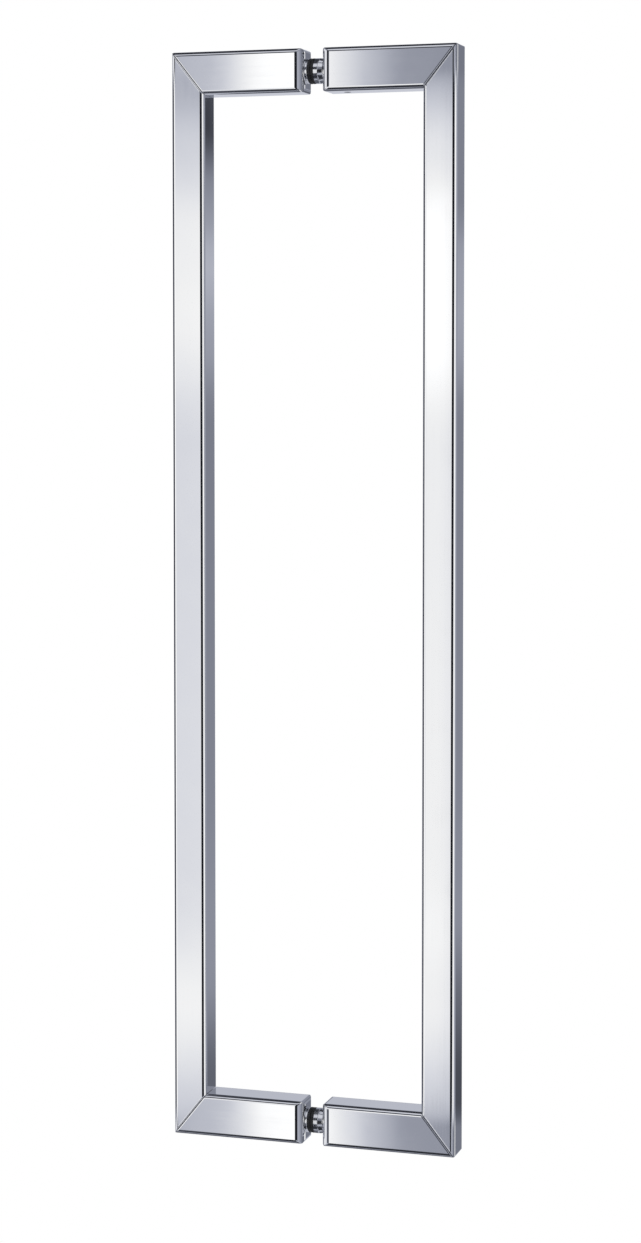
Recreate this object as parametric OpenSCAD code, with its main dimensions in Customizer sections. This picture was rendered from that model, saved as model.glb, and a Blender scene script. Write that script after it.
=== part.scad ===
// Back-to-back door pull: two mitred U-shaped tube handles, one for each face of a glass door,
// joined through the door by a threaded stud at each end.
// X runs through the door, Y along it (the front faces look towards -Y) and Z is up.
// The origin is the centre of the pair.

/* [Handle] */
// Distance between the two fixings, centre to centre
centres = 610; // [150:1:1200]
// From the end of an arm to the outer face of its grip
projection = 80; // [55:1:140]
// Width of the grip tube, along X
grip_w = 20; // [16:0.5:40]
// Height of the arm tubes, along Z
arm_h = 25; // [20:0.5:45]
// Depth of every tube, along Y
tube_depth = 20; // [18:0.5:40]
// Wall of the tubes
wall = 1.5; // [1:0.1:2.5]

/* [Edges] */
// Radius of the long edges of the tubes
edge_r = 2.6; // [1:0.1:3.5]
// Radius of the upright edges at an arm's free end
end_r = 5; // [3:0.1:6]
// Radius of the level edges at an arm's free end
end_level_r = 2.5; // [1:0.1:4]
// Radius of the outer corner of each mitre
corner_r = 1.2; // [0.5:0.1:2]
// Radius of the polished shoulders on both sides of a mitre seam
seam_r = 0.7; // [0.3:0.1:1]

/* [Arm plugs] */
// How far a plug's shank reaches into its arm, behind the head
shank_l = 20; // [17:0.5:30]
// Gap between the shank and the tube's inner faces, on each side
shank_clear = 0.1; // [0.05:0.05:0.3]

/* [Fixings] */
// Outer diameter of the washers, gaskets, ring and collar
fixing_d = 14.6; // [14:0.1:20]
// Thickness of the washer on the left arm
washer_t = 1.4; // [1:0.1:3]
// Thickness of each gasket, one for each face of the glass
gasket_t = 1.8; // [1:0.1:3]
// Thickness of the ring that the right gasket lies on
ring_t = 2.9; // [2:0.1:5]
// Thickness of the collar against the right arm
collar_t = 2.9; // [2:0.1:5]
// How much narrower the collar is where it meets the arm, on the diameter
collar_taper = 0.8; // [0:0.1:2]
// Break on the edges of the washer, ring and collar
rim_break = 0.3; // [0.1:0.1:0.5]
// Rounding of the gaskets' rims
gasket_break = 0.4; // [0.1:0.1:0.5]

/* [Stud and sleeve] */
// Diameter of the threaded stud
stud_d = 8; // [6:0.5:8.5]
// How far the stud is screwed into the left plug
stud_in_left = 16; // [8:0.5:24]
// How far the stud reaches into the right plug
stud_in_right = 18; // [16:0.5:24]
// Bevel on the ends of the stud
stud_bevel = 1; // [0.5:0.1:1.5]
// Outer diameter of the nylon sleeve that keeps the stud off the glass
sleeve_d = 11; // [10.5:0.1:11.5]

/* [Set screws] */
// Diameter of the set screws
screw_d = 4; // [3:0.5:5]
// From the end of the right arms to the middle of a set screw
screw_from_end = 13; // [9:0.5:14]
// How far a set screw sits inside the underside of its arm
screw_recess = 1.2; // [0.5:0.1:3]
// Depth of the groove in the stud that a set screw bites in
groove_depth = 0.9; // [0.4:0.1:1.2]
// Size of the hexagon socket, across its flats
socket_af = 2; // [1.3:0.1:2.5]
// Depth of the hexagon socket
socket_depth = 2; // [1:0.1:2.5]

/* [Clearances] */
// Radial gap between a screwed part and its thread
thread_clear = 0.05; // [0.02:0.01:0.1]
// Radial gap between a part that slides on and what it slides over
slip_clear = 0.15; // [0.05:0.05:0.3]

/* [Hidden] */
$fn = 64;

upper = 1;
lower = -1;
left = -1;
right = 1;

// The stack between the arms sets how far apart they stand
gap = washer_t + 2 * gasket_t + ring_t + collar_t;
arm_end = gap / 2;
outer_face = arm_end + projection;
overall_h = centres + arm_h;
washer_from = -arm_end;
glass_plane = washer_from + washer_t + gasket_t;
ring_from = glass_plane + gasket_t;
collar_from = ring_from + ring_t;

// A plug's head carries the whole of the upright rounding
head_l = end_r;
tube_from = arm_end + head_l;
inner_r = max(edge_r - wall, 0.3);
head_overlap = 1;

// The mitre runs from the outer corner of the handle to its inner one
mitre_angle = atan2(arm_h, grip_w);
mitre_l = norm([arm_h, grip_w]);

stud_r = stud_d / 2;
stud_l = stud_in_left + gap + stud_in_right;
stud_from = -arm_end - stud_in_left;
screw_x = arm_end + screw_from_end;
groove_at = screw_x - stud_from;
screw_tip = stud_r - groove_depth;
screw_l = arm_h / 2 - screw_recess - screw_tip;
screw_point = 1.2;
sleeve_end_gap = 0.05;
socket_sides = 6;

// Cuts start this far outside a face, so that no arc only touches the face
lift = 0.02;
spare = 10;

chrome_colour = [0.80, 0.80, 0.84];
rubber_colour = [0.06, 0.06, 0.07];
nylon_colour = [0.88, 0.88, 0.84];
steel_colour = [0.55, 0.56, 0.58];
screw_colour = [0.16, 0.16, 0.18];

// Moves an arm-level part to the upper or the lower fixing
module at_level(level) {
    translate([0, 0, level * centres / 2]) children();
}

// Turns something drawn for the right handle into its left twin
module on_side(side) {
    mirror([side == left ? 1 : 0, 0, 0]) children();
}

// Turns something drawn for the upper arm upside down for the lower one
module turned_for(level) {
    mirror([0, 0, level == lower ? 1 : 0]) children();
}

// Stands a profile up along X: its first axis becomes Y and its second Z
module along_x(from, length) {
    translate([from, 0, 0])
        rotate([90, 0, 90])
            linear_extrude(length) children();
}

module rounded_rectangle(w, h, r) {
    square([w - 2 * r, h], center = true);
    square([w, h - 2 * r], center = true);
    for (x = [-1, 1], y = [-1, 1])
        translate([x * (w / 2 - r), y * (h / 2 - r)]) circle(r);
}

module tube_section(w, h) {
    difference() {
        rounded_rectangle(w, h, edge_r);
        rounded_rectangle(w - 2 * wall, h - 2 * wall, inner_r);
    }
}

// The waste outside an arc of radius r in the corner of two faces, which meet at the origin.
// The material lies below and to the left.
module corner_waste(r) {
    difference() {
        translate([lift - r, lift - r]) square(r + spare);
        translate([lift - r, lift - r]) circle(r);
    }
}

// What a mitre takes off: everything above the seam, with a shoulder at both faces of the tube
module mitre_waste() {
    shoulder = tube_depth / 2 - seam_r + lift;
    difference() {
        translate([-tube_depth, -seam_r]) square([2 * tube_depth, 4 * projection]);
        translate([-shoulder, -2 * seam_r]) square([2 * shoulder, 2 * seam_r]);
        for (y = [-1, 1])
            translate([y * shoulder, -seam_r]) circle(seam_r);
    }
}

// One mitre of the right handle's upper corner, along the line through its corners
module upper_mitre(side_kept) {
    translate([outer_face, 0, overall_h / 2])
        rotate([0, -mitre_angle, 0])
            rotate([90, 0, 90])
                linear_extrude(3 * mitre_l, center = true)
                    mirror([0, side_kept == "arm" ? 1 : 0]) mitre_waste();
}

module outer_corner_waste() {
    translate([outer_face, tube_depth, overall_h / 2])
        rotate([90, 0, 0])
            linear_extrude(2 * tube_depth) corner_waste(corner_r);
}

// Upright tube that the hand holds, mitred at both ends
module grip() {
    difference() {
        translate([outer_face - grip_w / 2, 0, -overall_h / 2 - spare])
            linear_extrude(overall_h + 2 * spare) tube_section(grip_w, tube_depth);
        for (level = [upper, lower])
            turned_for(level) {
                upper_mitre("grip");
                outer_corner_waste();
            }
    }
}

// Hole through the underside of an arm for its set screw
module set_screw_hole() {
    translate([screw_x, 0, -arm_h / 2 - spare])
        cylinder(r = screw_d / 2 + thread_clear, h = arm_h / 2 + spare);
}

// Level tube from a plug to the mitre, with a screw hole underneath if it is drilled
module arm(level, drilled) {
    difference() {
        turned_for(level)
            difference() {
                at_level(upper)
                    along_x(tube_from, outer_face - tube_from + spare)
                        tube_section(tube_depth, arm_h);
                upper_mitre("arm");
                outer_corner_waste();
            }
        if (drilled) at_level(level) set_screw_hole();
    }
}

// Rounds the four edges of a plug's head at the arm's free end
module free_end_waste() {
    for (y = [0, 1])
        mirror([0, y, 0])
            translate([arm_end, tube_depth / 2, -arm_h])
                linear_extrude(2 * arm_h) mirror([1, 0]) corner_waste(end_r);
    for (z = [0, 1])
        mirror([0, 0, z])
            translate([arm_end, tube_depth, arm_h / 2])
                rotate([90, 0, 0])
                    linear_extrude(2 * tube_depth) mirror([1, 0]) corner_waste(end_level_r);
}

// Closes an arm's free end: a head flush with the tube, a shank inside it and a bore for the stud
module plug(bore_r, drilled) {
    shank_inset = 2 * (wall + shank_clear);
    difference() {
        union() {
            difference() {
                along_x(arm_end, head_l) rounded_rectangle(tube_depth, arm_h, edge_r);
                free_end_waste();
            }
            along_x(tube_from - head_overlap, shank_l + head_overlap)
                rounded_rectangle(tube_depth - shank_inset, arm_h - shank_inset, inner_r);
        }
        along_x(arm_end - spare, head_l + shank_l + 2 * spare) circle(bore_r);
        if (drilled) set_screw_hole();
    }
}

// A ring round the stud: its two rims may differ, as a taper, and each edge is broken
module stacked_ring(from, thickness, bore_r, rim_left, rim_right, edge_break) {
    translate([from, 0, 0])
        rotate([0, 90, 0])
            rotate_extrude()
                polygon([
                    [bore_r, 0],
                    [rim_left - edge_break, 0],
                    [rim_left, edge_break],
                    [rim_right, thickness - edge_break],
                    [rim_right - edge_break, thickness],
                    [bore_r, thickness]
                ]);
}

// Threaded rod that ties the two handles together, with a groove for the set screw
module stud() {
    translate([stud_from, 0, 0])
        rotate([0, 90, 0])
            rotate_extrude()
                polygon([
                    [0, 0],
                    [stud_r - stud_bevel, 0],
                    [stud_r, stud_bevel],
                    [stud_r, groove_at - screw_d / 2],
                    [stud_r - groove_depth, groove_at - screw_d / 4],
                    [stud_r - groove_depth, groove_at + screw_d / 4],
                    [stud_r, groove_at + screw_d / 2],
                    [stud_r, stud_l - stud_bevel],
                    [stud_r - stud_bevel, stud_l],
                    [0, stud_l]
                ]);
}

module washer() {
    rim = fixing_d / 2;
    stacked_ring(washer_from, washer_t, stud_r + slip_clear, rim, rim, rim_break);
}

module gasket(from) {
    rim = fixing_d / 2;
    stacked_ring(from, gasket_t, sleeve_d / 2 + slip_clear, rim, rim, gasket_break);
}

module ring() {
    rim = fixing_d / 2;
    stacked_ring(ring_from, ring_t, sleeve_d / 2 + slip_clear, rim, rim, rim_break);
}

module collar() {
    rim = fixing_d / 2;
    stacked_ring(collar_from, collar_t, stud_r + slip_clear, rim, rim - collar_taper / 2, rim_break);
}

module sleeve() {
    sleeve_from = washer_from + washer_t + sleeve_end_gap;
    along_x(sleeve_from, collar_from - sleeve_end_gap - sleeve_from)
        difference() {
            circle(sleeve_d / 2);
            circle(stud_r + slip_clear);
        }
}

// Cone-point screw that comes up through the arm, with a hexagon socket in its lower end
module set_screw() {
    socket_r = socket_af / 2 / cos(180 / socket_sides);
    translate([screw_x, 0, -screw_tip - screw_l])
        difference() {
            union() {
                cylinder(r = screw_d / 2, h = screw_l - screw_point);
                translate([0, 0, screw_l - screw_point])
                    cylinder(r1 = screw_d / 2, r2 = screw_d / 4, h = screw_point);
            }
            translate([0, 0, -spare])
                linear_extrude(spare + socket_depth) circle(socket_r, $fn = socket_sides);
        }
}

module chrome_plated() {
    color(chrome_colour) children();
}

module left_grip() { chrome_plated() on_side(left) grip(); }
module left_upper_arm() { chrome_plated() on_side(left) arm(upper, false); }
module left_lower_arm() { chrome_plated() on_side(left) arm(lower, false); }
module left_upper_plug() { chrome_plated() at_level(upper) on_side(left) plug(stud_r + thread_clear, false); }
module left_lower_plug() { chrome_plated() at_level(lower) on_side(left) plug(stud_r + thread_clear, false); }

module right_grip() { chrome_plated() grip(); }
module right_upper_arm() { chrome_plated() arm(upper, true); }
module right_lower_arm() { chrome_plated() arm(lower, true); }
module right_upper_plug() { chrome_plated() at_level(upper) plug(stud_r + slip_clear, true); }
module right_lower_plug() { chrome_plated() at_level(lower) plug(stud_r + slip_clear, true); }

module fixing_stud(level) { color(steel_colour) at_level(level) stud(); }
module fixing_washer(level) { chrome_plated() at_level(level) washer(); }
module fixing_left_gasket(level) { color(rubber_colour) at_level(level) gasket(glass_plane - gasket_t); }
module fixing_right_gasket(level) { color(rubber_colour) at_level(level) gasket(glass_plane); }
module fixing_ring(level) { chrome_plated() at_level(level) ring(); }
module fixing_collar(level) { chrome_plated() at_level(level) collar(); }
module fixing_sleeve(level) { color(nylon_colour) at_level(level) sleeve(); }
module fixing_set_screw(level) { color(screw_colour) at_level(level) set_screw(); }

left_grip();
left_upper_arm();
left_lower_arm();
left_upper_plug();
left_lower_plug();
right_grip();
right_upper_arm();
right_lower_arm();
right_upper_plug();
right_lower_plug();
fixing_stud(upper);  // upper_stud
fixing_washer(upper);  // upper_washer
fixing_left_gasket(upper);  // upper_left_gasket
fixing_right_gasket(upper);  // upper_right_gasket
fixing_ring(upper);  // upper_ring
fixing_collar(upper);  // upper_collar
fixing_sleeve(upper);  // upper_sleeve
fixing_set_screw(upper);  // upper_set_screw
fixing_stud(lower);  // lower_stud
fixing_washer(lower);  // lower_washer
fixing_left_gasket(lower);  // lower_left_gasket
fixing_right_gasket(lower);  // lower_right_gasket
fixing_ring(lower);  // lower_ring
fixing_collar(lower);  // lower_collar
fixing_sleeve(lower);  // lower_sleeve
fixing_set_screw(lower);  // lower_set_screw
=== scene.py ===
"""Back-to-back door pull handle: looks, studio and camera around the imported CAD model."""
import math

import bmesh
import bpy
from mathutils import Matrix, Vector


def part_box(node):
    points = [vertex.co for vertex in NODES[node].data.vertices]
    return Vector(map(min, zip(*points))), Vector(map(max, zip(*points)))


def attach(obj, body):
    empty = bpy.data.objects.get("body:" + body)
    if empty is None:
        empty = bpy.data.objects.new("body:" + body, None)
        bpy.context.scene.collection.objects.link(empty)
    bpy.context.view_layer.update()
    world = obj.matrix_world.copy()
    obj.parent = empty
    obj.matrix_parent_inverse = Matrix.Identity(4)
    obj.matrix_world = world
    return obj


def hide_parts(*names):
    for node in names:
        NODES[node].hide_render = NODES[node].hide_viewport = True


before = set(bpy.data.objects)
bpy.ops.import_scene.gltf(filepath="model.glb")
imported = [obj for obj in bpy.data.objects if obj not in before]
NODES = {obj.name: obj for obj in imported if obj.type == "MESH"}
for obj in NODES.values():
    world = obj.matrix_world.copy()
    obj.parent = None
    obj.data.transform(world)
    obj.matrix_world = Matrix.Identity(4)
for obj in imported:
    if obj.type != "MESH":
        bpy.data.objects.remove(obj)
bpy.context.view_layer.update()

# Photograph and camera, lengths in metres, angles in degrees.
PHOTO_H = 1243
SENSOR = 36.0
FOCAL_PX = 2672.3
AXIS_Y_PX = 500
CAMERA_AZ = 17.163
CAMERA_EL = 3.012
CAMERA_DISTANCE = 1.5453
CAMERA_TARGET = Vector((0.0022, 0.0, 0.0587))

# Forms of the handles, the same values as the CAD source has.
SIDES = {-1: "left", 1: "right"}
LEVELS = {1: "upper", -1: "lower"}
ARM_LEVEL = 0.305
ARM_H = 0.025
WALL = 0.0015
EDGE_R = 0.0026
END_R = 0.005
END_LEVEL_R = 0.0025
CORNER_R = 0.0012
SEAM_R = 0.0007
SHANK_CLEAR = 0.0001
SCREW_HOLE_R = 0.00205
BORE_R = {-1: 0.00405, 1: 0.00415}
# Facets: steps round a tube's edge, a seam's shoulder and a plug's head; sides of a drilled hole.
CORNER_STEPS = 12
SHOULDER_STEPS = 6
HEAD_STEPS = 16
DRILL_SIDES = 48
# Two narrow strips before a shoulder keep the shading of the flat face flat.
RUN_IN = (0.0006, 0.0003)
MERGE_GAP = 0.000002
SLIVER = 0.000001
SHARP_ANGLE = 30

# Studio: a dome of lit panels, brightness 1 is white. Azimuth 0 is toward -Y, elevation 0 is level.
DOME_RADIUS = 20.0
FLOOR_Z = -1.0
FLOOR_SIZE = 12.0
FLOOR_COLOUR = (0.8, 0.8, 0.8, 1)
AMBIENT = 0.85
# In shading only, the arms' faces lean by this many metres for each metre, so that they mirror other panels.
ARM_LEAN = 0.02
# Steps of the dome's mesh, finer where the flat faces look: from, to, step.
AZIMUTH_STEPS = ((-180, -60, 1), (-60, -24, 0.5), (-24, -8, 0.25), (-8, 150, 1), (150, 180, 0.5))
ELEVATION_STEPS = (
    (-90, -30, 1), (-30, -21, 0.5), (-21, -15, 0.25), (-15, 5, 0.5), (5, 10, 0.25), (10, 30, 0.5), (30, 91, 1)
)

# What the upright tubes mirror. Brightness against elevation, for the panel in front and the one behind.
FRONT_LEVELS = (
    (-17.0, 0.66), (-14.4, 1.02), (-11.0, 0.9), (-1.5, 0.87), (1.4, 1.14), (3.3, 1.1), (5.2, 0.81),
    (7.0, 0.46),
)
BEHIND_LEVELS = (
    (-16.0, 0.13), (-13.6, 0.29), (-8.0, 0.24), (-1.0, 0.22), (1.0, 0.36), (2.6, 0.48), (4.0, 0.3),
    (5.7, 0.05),
)
FRONT_MOST = 1.2
# Where the front panel brightens towards the right, and by how much; near the floor it hardly does.
FRONT_SLOPE = (-21, -13.6)
FRONT_SLOPE_LEVELS = (0.88, 1.13)
FRONT_SLOPE_LEVELS_LOW = (1.0, 0.98)
NEAR_FLOOR = (12.2, 14.2)

# What the level tubes mirror: two strips. Brightness against azimuth.
STRIP_LEVELS = (
    (-22.0, 0.4), (-19.8, 0.56), (-18.5, 1.16), (-17.4, 1.16), (-16.7, 0.84), (-16.1, 0.54),
    (-15.3, 0.33), (-12.0, 0.26),
)
UPPER_STRIP_FROM = 6.65
LOWER_STRIP_FROM = -16.8
LOWER_STRIP_TO = -21.0
STRIP_EDGE = 0.3
DARK = 0.012
# How much green and blue the darkest greys of the studio gain.
COOL_GREEN = 0.07
COOL_BLUE = 0.36

# A span is from, to, and the soft width of each end. One whose end lies before its start goes round the back.
ANY = (-999, 999, 1, 1)
REAR_HALF = (100, -100, 60, 60)
LEFT_REAR = (-176, -150, 6, 6)
# Panels above and below the walls, laid over each other in this order: brightness, azimuths, elevations.
PANELS = (
    # Dark ceiling, which draws the outlines along the top, with a light overhead and grey fill beside it.
    (0.03, ANY, (11.25, 999, 2.5, 1)),
    (0.3, (-100, -42, 60, 6), (12, 44, 6, 6)),
    (0.3, (2, 100, 6, 60), (12, 44, 6, 6)),
    (0.7, (-36, 100, 12, 60), (34, 70, 6, 6)),
    (0.27, REAR_HALF, (12, 42, 6, 6)),
    # Left rear: the back faces, the undersides of the upper arms and the tops of the lower ones.
    (0.4, (-152, -120, 6, 6), (-24, 12, 4, 4)),
    (0.6, LEFT_REAR, (-22, 4, 4, 4)),
    (0.52, LEFT_REAR, (11, 22, 4, 4)),
    # Straight overhead.
    (0.6, ANY, (77.5, 999, 3, 1)),
    # Dark floor in front, which draws the outlines along the bottom, and a paler floor elsewhere.
    (0.03, (-25, -8, 6, 6), (-999, -21.35, 1, 1.3)),
    (0.03, (-60, 40, 30, 30), (-999, -39, 1, 6)),
    (0.55, (40, -60, 30, 30), (-999, -37, 1, 26)),
    (0.1, (-999, -80, 1, 20), (-76, -24, 4, 4)),
)

# Looks. Grain is the cells of the polishing lines for each metre along x, y and z; depth is in metres.
CHROME_DARK = (0.862, 0.866, 0.876)
CHROME = (0.87, 0.873, 0.88)
CHROME_PALE = (0.878, 0.881, 0.886)
GRIP_GRAIN = (700, 700, 9)
ARM_GRAIN = (9, 700, 700)
TURNED_GRAIN = (2500, 120, 120)
POLISH_DEPTH = 0.0000004
TUBE_POLISH = (0.022, 0.052)
TURNED_POLISH = (0.12, 0.19)
# Nearly all of a noise's values lie between these.
NOISE_LO = 0.3
NOISE_HI = 0.7


def direction(az, el):
    """Unit vector; azimuth 0 is toward -Y, and it grows toward +X."""
    a, e = math.radians(az), math.radians(el)
    return Vector((math.sin(a) * math.cos(e), -math.cos(a) * math.cos(e), math.sin(e)))


def add_camera():
    data = bpy.data.cameras.new("photo_camera")
    data.sensor_fit = "VERTICAL"
    data.sensor_height = SENSOR
    data.sensor_width = SENSOR
    data.lens = FOCAL_PX * SENSOR / PHOTO_H
    data.shift_y = (AXIS_Y_PX - PHOTO_H / 2) / PHOTO_H
    data.clip_start = 0.05
    data.clip_end = 50
    camera = bpy.data.objects.new("photo_camera", data)
    bpy.context.scene.collection.objects.link(camera)
    away = direction(CAMERA_AZ, CAMERA_EL)
    camera.location = CAMERA_TARGET + away * CAMERA_DISTANCE
    camera.rotation_euler = (-away).to_track_quat("-Z", "Y").to_euler()
    bpy.context.scene.camera = camera


def smooth(a, b, x):
    """0 up to a, 1 from b on, eased in between; b may also be the lower one."""
    t = min(max((x - a) / (b - a), 0.0), 1.0)
    return t * t * (3 - 2 * t)


def within(span, x):
    """1 inside a span of from, to and the two soft widths, falling to 0 outside it."""
    start, end, start_soft, end_soft = span
    if start > end:
        return 1 - within((end, start, end_soft, start_soft), x)
    rise = smooth(start - start_soft / 2, start + start_soft / 2, x)
    return rise * (1 - smooth(end - end_soft / 2, end + end_soft / 2, x))


def mix(a, b, t):
    return a + (b - a) * t


def level_at(stops, x):
    """Brightness at x on a list of (place, brightness), eased between neighbours."""
    if x <= stops[0][0]:
        return stops[0][1]
    for (a, first), (b, last) in zip(stops, stops[1:]):
        if x <= b:
            return mix(first, last, smooth(a, b, x))
    return stops[-1][1]


def middle_walls(az, el):
    """What the upright tubes mirror, from the left rear round to the right rear."""
    low = smooth(*NEAR_FLOOR, -el)
    left, right = (mix(*pair, low) for pair in zip(FRONT_SLOPE_LEVELS, FRONT_SLOPE_LEVELS_LOW))
    front = level_at(FRONT_LEVELS, el) * mix(left, right, smooth(*FRONT_SLOPE, az))
    # Dark on both sides of the front panel: the outlines, and the lines beside the front faces.
    tone = mix(DARK, 0.05, smooth(-40, -60, az))
    tone = mix(tone, min(front, FRONT_MOST), within((-60, -13, 3, 3), az))
    tone = mix(tone, 1.1, within((-58, -30, 6, 6), az))
    # To the right, the white line on the rounded edges and the grey that it runs out into.
    tone = mix(tone, 1.05, within((45, 84, 5, 5), az))
    tone = mix(tone, mix(0.62, 0.3, smooth(84, 118, az)), smooth(82, 86, az))
    # Behind, what the side faces mirror; the right handle's differ a little from the left one's.
    far_right = smooth(161, 164.5, az)
    behind = level_at(BEHIND_LEVELS, el) * mix(1, 0.55, low * far_right)
    behind *= mix(1, 0.74, smooth(1.2, 2.4, el) * far_right)
    behind += 0.19 * smooth(160.6, 163, az) * smooth(4.0, 5.7, el)
    return mix(tone, behind, smooth(157, 159, az))


def arm_walls(az, el):
    """What the level tubes mirror: a narrow strip light between darker panels."""
    tone = mix(DARK, level_at(STRIP_LEVELS, az), within((-25, -12, 3, 3), az))
    # What the rounded ends of the right arms mirror.
    tone = mix(tone, 0.85, within((-106, -50, 5, 5), az))
    tone = mix(tone, 0.4, within((-51, -41, 4, 4), az) * smooth(10, 14, -el))
    # What the rounded ends of the left arms mirror, and their flat end faces.
    tone = mix(tone, mix(0.44, 0.16, smooth(18, 100, az)), smooth(16, 20, az))
    tone = mix(tone, 1.1, within((128, 156, 4, 4), az))
    return mix(tone, 0.19, smooth(157, 159, az))


def studio_tone(az, el):
    """Brightness of the studio in a direction: walls, strips, then the panels."""
    upper = smooth(0, STRIP_EDGE, el - UPPER_STRIP_FROM)
    lower = within((LOWER_STRIP_TO, LOWER_STRIP_FROM, STRIP_EDGE, STRIP_EDGE), el)
    tone = mix(middle_walls(az, el), 0.5, smooth(18, 22, -el))
    tone = mix(tone, arm_walls(az, el), upper + lower)
    for level, azimuths, elevations in PANELS:
        tone = mix(tone, level, within(azimuths, az) * within(elevations, el))
    return tone


def cool_grey(tone):
    """White stays neutral and greys turn slightly blue."""
    shade = max(1 - tone, 0)
    return tone, tone * (1 + COOL_GREEN * shade), tone * (1 + COOL_BLUE * shade), 1.0


def spread_of(steps):
    """The values of a list of (from, to, step)."""
    return [lo + k * step for lo, hi, step in steps for k in range(round((hi - lo) / step))]


def add_dome():
    """A lit dome that only mirror reflections see."""
    rows = spread_of(ELEVATION_STEPS)
    columns = spread_of(AZIMUTH_STEPS)
    points = [direction(az, el) * DOME_RADIUS for el in rows for az in columns]
    tones = [studio_tone(az, el) for el in rows for az in columns]
    across = len(columns)
    faces = []
    for r in range(len(rows) - 1):
        for c in range(across):
            d = (c + 1) % across
            faces.append((r * across + c, r * across + d, (r + 1) * across + d, (r + 1) * across + c))
    mesh = bpy.data.meshes.new("studio_dome")
    mesh.from_pydata(points, [], faces)
    layer = mesh.color_attributes.new("brightness", "FLOAT_COLOR", "POINT")
    layer.data.foreach_set("color", [v for t in tones for v in cool_grey(t)])
    dome = bpy.data.objects.new("studio_dome", mesh)
    bpy.context.scene.collection.objects.link(dome)
    dome.visible_camera = False
    dome.visible_diffuse = False
    dome.visible_transmission = False
    dome.visible_shadow = False
    material, nodes, links = new_material("studio_panels")
    out = nodes.new("ShaderNodeOutputMaterial")
    glow = nodes.new("ShaderNodeEmission")
    tone = nodes.new("ShaderNodeAttribute")
    tone.attribute_name = "brightness"
    links.new(tone.outputs["Color"], glow.inputs["Color"])
    links.new(glow.outputs[0], out.inputs["Surface"])
    mesh.materials.append(material)


def new_material(name):
    material = bpy.data.materials.new(name)
    material.use_nodes = True
    nodes = material.node_tree.nodes
    nodes.clear()
    return material, nodes, material.node_tree.links


def add_world():
    """White where the camera looks, a plain level for everything else."""
    world = bpy.data.worlds.new("studio_world")
    bpy.context.scene.world = world
    world.use_nodes = True
    nodes = world.node_tree.nodes
    links = world.node_tree.links
    nodes.clear()
    out = nodes.new("ShaderNodeOutputWorld")
    back = nodes.new("ShaderNodeBackground")
    path = nodes.new("ShaderNodeLightPath")
    seen = nodes.new("ShaderNodeMath")
    seen.operation = "MAXIMUM"
    seen_through = nodes.new("ShaderNodeMath")
    seen_through.operation = "MAXIMUM"
    level = nodes.new("ShaderNodeMapRange")
    level.inputs["To Min"].default_value = AMBIENT
    level.inputs["To Max"].default_value = 1.0
    links.new(path.outputs["Is Camera Ray"], seen.inputs[0])
    links.new(path.outputs["Is Glossy Ray"], seen.inputs[1])
    links.new(seen.outputs[0], seen_through.inputs[0])
    links.new(path.outputs["Is Transmission Ray"], seen_through.inputs[1])
    links.new(seen_through.outputs[0], level.inputs["Value"])
    links.new(level.outputs[0], back.inputs["Strength"])
    links.new(back.outputs[0], out.inputs["Surface"])
    back.inputs["Color"].default_value = (1, 1, 1, 1)


def add_floor():
    """A plain pale floor far below the pair, white where the camera sees it."""
    half = FLOOR_SIZE / 2
    mesh = bpy.data.meshes.new("floor")
    corners = [(-half, -half), (half, -half), (half, half), (-half, half)]
    mesh.from_pydata([(x, y, FLOOR_Z) for x, y in corners], [], [(0, 1, 2, 3)])
    floor = bpy.data.objects.new("floor", mesh)
    bpy.context.scene.collection.objects.link(floor)
    floor.visible_glossy = False
    material, nodes, links = new_material("pale_floor")
    out = nodes.new("ShaderNodeOutputMaterial")
    matt = nodes.new("ShaderNodeBsdfDiffuse")
    matt.inputs["Color"].default_value = FLOOR_COLOUR
    white = nodes.new("ShaderNodeEmission")
    path = nodes.new("ShaderNodeLightPath")
    pick = nodes.new("ShaderNodeMixShader")
    links.new(path.outputs["Is Camera Ray"], pick.inputs[0])
    links.new(matt.outputs[0], pick.inputs[1])
    links.new(white.outputs[0], pick.inputs[2])
    links.new(pick.outputs[0], out.inputs["Surface"])
    mesh.materials.append(material)


def surface(name, colour, metallic, roughness):
    """A Principled material; returns it with its shader, nodes and links."""
    material, nodes, links = new_material(name)
    out = nodes.new("ShaderNodeOutputMaterial")
    shader = nodes.new("ShaderNodeBsdfPrincipled")
    shader.inputs["Base Color"].default_value = (*colour, 1)
    shader.inputs["Metallic"].default_value = metallic
    shader.inputs["Roughness"].default_value = roughness
    links.new(shader.outputs[0], out.inputs["Surface"])
    return material, shader, nodes, links


def noise(nodes, links, stretch, detail=2.0):
    """Noise in the part's own coordinates; stretch is its cells for each metre along x, y and z."""
    place = nodes.new("ShaderNodeTexCoord")
    spread = nodes.new("ShaderNodeMapping")
    spread.inputs["Scale"].default_value = stretch
    texture = nodes.new("ShaderNodeTexNoise")
    texture.inputs["Scale"].default_value = 1.0
    texture.inputs["Detail"].default_value = detail
    links.new(place.outputs["Object"], spread.inputs["Vector"])
    links.new(spread.outputs[0], texture.inputs["Vector"])
    return texture.outputs["Fac"]


def ranged(nodes, links, source, lo, hi):
    """Maps a noise onto lo to hi."""
    spread = nodes.new("ShaderNodeMapRange")
    spread.inputs["From Min"].default_value = NOISE_LO
    spread.inputs["From Max"].default_value = NOISE_HI
    spread.inputs["To Min"].default_value = lo
    spread.inputs["To Max"].default_value = hi
    links.new(source, spread.inputs["Value"])
    return spread.outputs[0]


def tinted(nodes, links, shader, source, dark, pale):
    """Lets the base colour wander between two near colours."""
    blend = nodes.new("ShaderNodeMix")
    blend.data_type = "RGBA"
    blend.inputs["A"].default_value = (*dark, 1)
    blend.inputs["B"].default_value = (*pale, 1)
    links.new(ranged(nodes, links, source, 0.0, 1.0), blend.inputs["Factor"])
    links.new(blend.outputs["Result"], shader.inputs["Base Color"])


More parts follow.
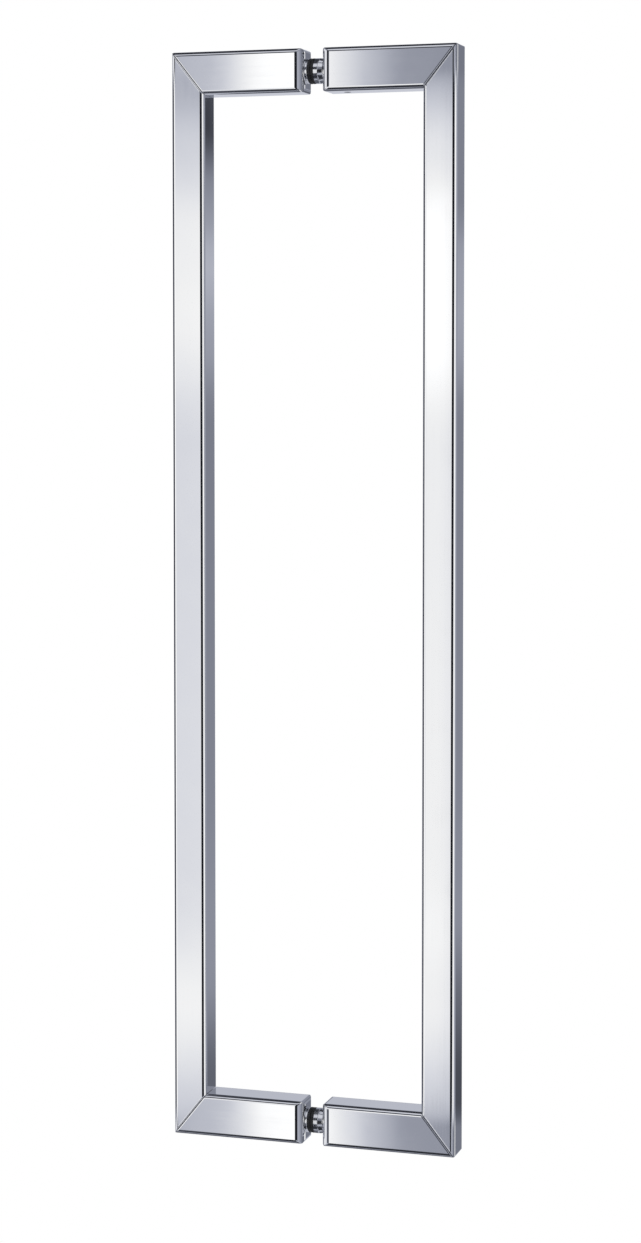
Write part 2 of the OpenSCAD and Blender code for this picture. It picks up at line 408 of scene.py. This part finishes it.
def bump(nodes, links, shader, source, distance, under=None):
    """Bumps the surface by a height of source times distance, on top of the bump under it."""
    node = nodes.new("ShaderNodeBump")
    node.inputs["Strength"].default_value = 1.0
    node.inputs["Distance"].default_value = distance
    links.new(source, node.inputs["Height"])
    if under:
        links.new(under.outputs[0], node.inputs["Normal"])
    links.new(node.outputs[0], shader.inputs["Normal"])
    return node


def chrome(name, grain, polish, fall=0.0):
    """Polished chrome with polishing lines that run the way of the grain's longest cells.

    polish is its roughness, from and to; fall is how far a face leans back, in metres for each
    metre from mid-height.
    """
    material, shader, nodes, links = surface(name, CHROME, 1.0, polish[0])
    lines = noise(nodes, links, grain, 3.0)
    haze = noise(nodes, links, (60, 60, 60))
    cloud = nodes.new("ShaderNodeMath")
    cloud.operation = "MULTIPLY"
    links.new(ranged(nodes, links, lines, 0.7, 1.3), cloud.inputs[0])
    links.new(ranged(nodes, links, haze, *polish), cloud.inputs[1])
    links.new(cloud.outputs[0], shader.inputs["Roughness"])
    tinted(nodes, links, shader, haze, CHROME_DARK, CHROME_PALE)
    lean = None
    if fall:
        place = nodes.new("ShaderNodeTexCoord")
        parts = nodes.new("ShaderNodeSeparateXYZ")
        away = nodes.new("ShaderNodeMath")
        away.operation = "ABSOLUTE"
        height = nodes.new("ShaderNodeMath")
        height.operation = "MULTIPLY"
        height.inputs[1].default_value = -1.0
        links.new(place.outputs["Object"], parts.inputs[0])
        links.new(parts.outputs["Z"], away.inputs[0])
        links.new(away.outputs[0], height.inputs[0])
        lean = bump(nodes, links, shader, height.outputs[0], fall)
    bump(nodes, links, shader, lines, POLISH_DEPTH, lean)
    return material


def rubber():
    """Moulded black rubber: fine grain, duller and paler where it has been handled."""
    material, shader, nodes, links = surface("black_rubber", (0.012, 0.012, 0.013), 0.0, 0.5)
    grain = noise(nodes, links, (2500, 2500, 2500), 4.0)
    bloom = noise(nodes, links, (180, 180, 180), 3.0)
    tinted(nodes, links, shader, bloom, (0.009, 0.009, 0.010), (0.018, 0.018, 0.019))
    links.new(ranged(nodes, links, bloom, 0.36, 0.58), shader.inputs["Roughness"])
    bump(nodes, links, shader, grain, 0.00003)
    return material


def nylon():
    """Natural nylon, slightly cloudy, with a few flow lines."""
    material, shader, nodes, links = surface("clear_nylon", (0.7, 0.69, 0.64), 0.0, 0.35)
    shader.inputs["Subsurface Weight"].default_value = 0.3
    shader.inputs["Subsurface Radius"].default_value = (0.001, 0.001, 0.0008)
    flow = noise(nodes, links, (90, 500, 500), 3.0)
    tinted(nodes, links, shader, flow, (0.62, 0.61, 0.55), (0.76, 0.75, 0.7))
    links.new(ranged(nodes, links, flow, 0.28, 0.42), shader.inputs["Roughness"])
    bump(nodes, links, shader, flow, 0.00001)
    return material


def turned_metal(name, dark, pale, roughness):
    """Bare or blackened steel with turning marks round its length, which lies along x or z."""
    material, shader, nodes, links = surface(name, pale, 1.0, roughness[0])
    marks = noise(nodes, links, (4000, 60, 4000), 3.0)
    stain = noise(nodes, links, (240, 240, 240), 4.0)
    tinted(nodes, links, shader, stain, dark, pale)
    links.new(ranged(nodes, links, stain, *roughness), shader.inputs["Roughness"])
    bump(nodes, links, shader, marks, 0.000006)
    return material


def section(width, depth, radius):
    """Outline of a rounded rectangle, as (u, v) points in turn, the same number at every corner."""
    points = []
    for corner, (u_side, v_side) in enumerate(((1, 1), (-1, 1), (-1, -1), (1, -1))):
        for k in range(CORNER_STEPS + 1):
            turn = math.radians(90 * (corner + k / CORNER_STEPS))
            points.append((
                u_side * (width / 2 - radius) + radius * math.cos(turn),
                v_side * (depth / 2 - radius) + radius * math.sin(turn),
            ))
    return points


def ring_of_bore(radius):
    """A circle with as many points as a section."""
    count = 4 * (CORNER_STEPS + 1)
    turns = [2 * math.pi * (k + 0.5) / count for k in range(count)]
    return [(radius * math.cos(t), radius * math.sin(t)) for t in turns]


def loft(name, rings, place):
    """A closed solid through rings of (u, v, along) points; the last ring joins the first."""
    form = bmesh.new()
    rows = [[form.verts.new(place(*p)) for p in ring] for ring in rings]
    for this, other in zip(rows, rows[1:] + rows[:1]):
        for k in range(len(this)):
            after = (k + 1) % len(this)
            form.faces.new((this[k], this[after], other[after], other[k]))
    bmesh.ops.remove_doubles(form, verts=form.verts, dist=MERGE_GAP)
    bmesh.ops.dissolve_degenerate(form, edges=form.edges, dist=SLIVER)
    bmesh.ops.recalc_face_normals(form, faces=form.faces)
    mesh = bpy.data.meshes.new(name)
    form.to_mesh(mesh)
    form.free()
    mesh.polygons.foreach_set("use_smooth", [True] * len(mesh.polygons))
    mesh.set_sharp_from_angle(angle=math.radians(SHARP_ANGLE))
    piece = bpy.data.objects.new(name, mesh)
    bpy.context.scene.collection.objects.link(piece)
    return piece


def finish_piece(piece, node, look, drill=None):
    """Lets a piece stand for its CAD node, with its hole and its polished normals."""
    if drill:
        hole = piece.modifiers.new("set_screw_hole", "BOOLEAN")
        hole.object = drill
        hole.solver = "EXACT"
    even = piece.modifiers.new("even_normals", "WEIGHTED_NORMAL")
    even.keep_sharp = True
    even.weight = 100
    piece.data.materials.append(look)
    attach(piece, "root")
    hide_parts(node)


def mitre_rings(width, depth, radius, inner, rise, level_cos, sign):
    """Rings that end a tube at its mitre: outer shoulder, then the edge of the tube's inside."""
    outline = section(width, depth, radius)
    top = inner + rise
    steps = [(SEAM_R + extra, depth / 2) for extra in RUN_IN]
    for k in range(SHOULDER_STEPS + 1):
        turn = math.radians(90 * k / SHOULDER_STEPS)
        steps.append((SEAM_R * (1 - math.sin(turn)), depth / 2 - SEAM_R * (1 - math.cos(turn))))
    rings = []
    for back, limit in steps:
        ring = []
        for u, v in outline:
            along = inner + rise * (u / width + 0.5) - back / level_cos
            du, da = u - (width / 2 - CORNER_R), along - (top - CORNER_R)
            reach = math.hypot(du, da)
            if du > 0 and da > 0 and reach > CORNER_R:
                u = width / 2 - CORNER_R + du * CORNER_R / reach
                along = top - CORNER_R + da * CORNER_R / reach
            ring.append((u, max(min(v, limit), -limit), sign * along))
        rings.append(ring)
    bore = section(width - 2 * WALL, depth - 2 * WALL, EDGE_R - WALL)
    inside_edge = [(u, v, sign * (inner + rise * (u / width + 0.5))) for u, v in bore]
    return rings, inside_edge


def build_grip(side, look):
    """Upright tube with a mitre at each end."""
    node = f"{SIDES[side]}_grip"
    lo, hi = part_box(node)
    width, depth, half = hi.x - lo.x, hi.y - lo.y, ARM_LEVEL - ARM_H / 2
    centre = (lo.x + hi.x) / 2
    level_cos = width / math.hypot(width, ARM_H)
    top, top_inside = mitre_rings(width, depth, EDGE_R, half, ARM_H, level_cos, 1)
    foot, foot_inside = mitre_rings(width, depth, EDGE_R, half, ARM_H, level_cos, -1)
    rings = foot[::-1] + top + [top_inside, foot_inside]
    piece = loft(f"{node}_tube", rings, lambda u, v, z: (centre + side * u, v, z))
    finish_piece(piece, node, look)


def build_arm(side, level, look, drill):
    """Level tube from its plug to the mitre."""
    node = f"{SIDES[side]}_{LEVELS[level]}_arm"
    lo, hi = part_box(node)
    near, far = sorted((abs(lo.x), abs(hi.x)))
    depth, height = hi.y - lo.y, hi.z - lo.z
    grip_lo, grip_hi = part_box(f"{SIDES[side]}_grip")
    grip_w = grip_hi.x - grip_lo.x
    level_cos = height / math.hypot(height, grip_w)
    mitre, mitre_inside = mitre_rings(height, depth, EDGE_R, far - grip_w, grip_w, level_cos, 1)
    start = [(u, v, near) for u, v in section(height, depth, EDGE_R)]
    start_inside = [(u, v, near) for u, v in section(height - 2 * WALL, depth - 2 * WALL, EDGE_R - WALL)]
    rings = [start] + mitre + [mitre_inside, start_inside]
    z = level * ARM_LEVEL
    piece = loft(f"{node}_tube", rings, lambda u, v, x: (side * x, v, z + level * u))
    finish_piece(piece, node, look, drill if side > 0 else None)


def build_plug(side, level, look, drill):
    """Plug in an arm's free end: rounded head, shank and the bore for the stud."""
    node = f"{SIDES[side]}_{LEVELS[level]}_plug"
    lo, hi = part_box(node)
    near, far = sorted((abs(lo.x), abs(hi.x)))
    depth, height = hi.y - lo.y, hi.z - lo.z
    outline = section(height, depth, EDGE_R)
    rings = []
    for k in range(HEAD_STEPS + 1):
        turn = math.radians(90 * k / HEAD_STEPS)
        back = END_R * (1 - math.cos(turn))
        v_limit = depth / 2 - END_R * (1 - math.sin(turn))
        drop = max(END_LEVEL_R - back, 0)
        u_limit = height / 2 - END_LEVEL_R + math.sqrt(END_LEVEL_R ** 2 - drop ** 2)
        rings.append([
            (max(min(u, u_limit), -u_limit), max(min(v, v_limit), -v_limit), near + back) for u, v in outline
        ])
    inset = 2 * (WALL + SHANK_CLEAR)
    shank = section(height - inset, depth - inset, EDGE_R - WALL)
    head_end = near + END_R
    rings += [[(u, v, x) for u, v in shank] for x in (head_end, far)]
    bore = ring_of_bore(BORE_R[side])
    rings += [[(u, v, x) for u, v in bore] for x in (far, near)]
    z = level * ARM_LEVEL
    piece = loft(f"{node}_body", rings, lambda u, v, x: (side * x, v, z + u))
    finish_piece(piece, node, look, drill if side > 0 else None)


def screw_drill(level):
    """The drill that the set-screw holes are cut with; it isn't part of the object."""
    lo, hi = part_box(f"{LEVELS[level]}_set_screw")
    z = level * ARM_LEVEL
    form = bmesh.new()
    bmesh.ops.create_cone(
        form, cap_ends=True, segments=DRILL_SIDES, radius1=SCREW_HOLE_R, radius2=SCREW_HOLE_R, depth=ARM_H
    )
    mesh = bpy.data.meshes.new(f"{LEVELS[level]}_drill")
    form.to_mesh(mesh)
    form.free()
    drill = bpy.data.objects.new(mesh.name, mesh)
    bpy.context.scene.collection.objects.link(drill)
    drill.location = ((lo.x + hi.x) / 2, 0, z - ARM_H / 2)
    drill.hide_render = True
    drill.hide_viewport = True
    return drill


def build_handles(grip_look, arm_look):
    for level in LEVELS:
        drill = screw_drill(level)
        for side in SIDES:
            build_arm(side, level, arm_look, drill)
            build_plug(side, level, arm_look, drill)
    for side in SIDES:
        build_grip(side, grip_look)


def dress_nodes():
    """Gives each CAD node the material of its record slot."""
    looks = {
        "polished_chrome": chrome("polished_chrome", TURNED_GRAIN, TURNED_POLISH),
        "black_rubber": rubber(),
        "clear_nylon": nylon(),
        "stud_steel": turned_metal("stud_steel", (0.5, 0.5, 0.51), (0.6, 0.6, 0.61), (0.24, 0.4)),
        "black_screw": turned_metal("black_screw", (0.014, 0.014, 0.016), (0.03, 0.03, 0.033), (0.32, 0.5)),
    }
    for node in NODES.values():
        slot = node.data.materials[0].name.split(".")[0]
        node.material_slots[0].link = "OBJECT"
        node.material_slots[0].material = looks[slot]


add_camera()
add_world()
add_dome()
add_floor()
dress_nodes()
build_handles(
    chrome("polished_chrome_grip", GRIP_GRAIN, TUBE_POLISH),
    chrome("polished_chrome_arm", ARM_GRAIN, TUBE_POLISH, ARM_LEAN),
)
bpy.context.scene.view_settings.view_transform = "Standard"
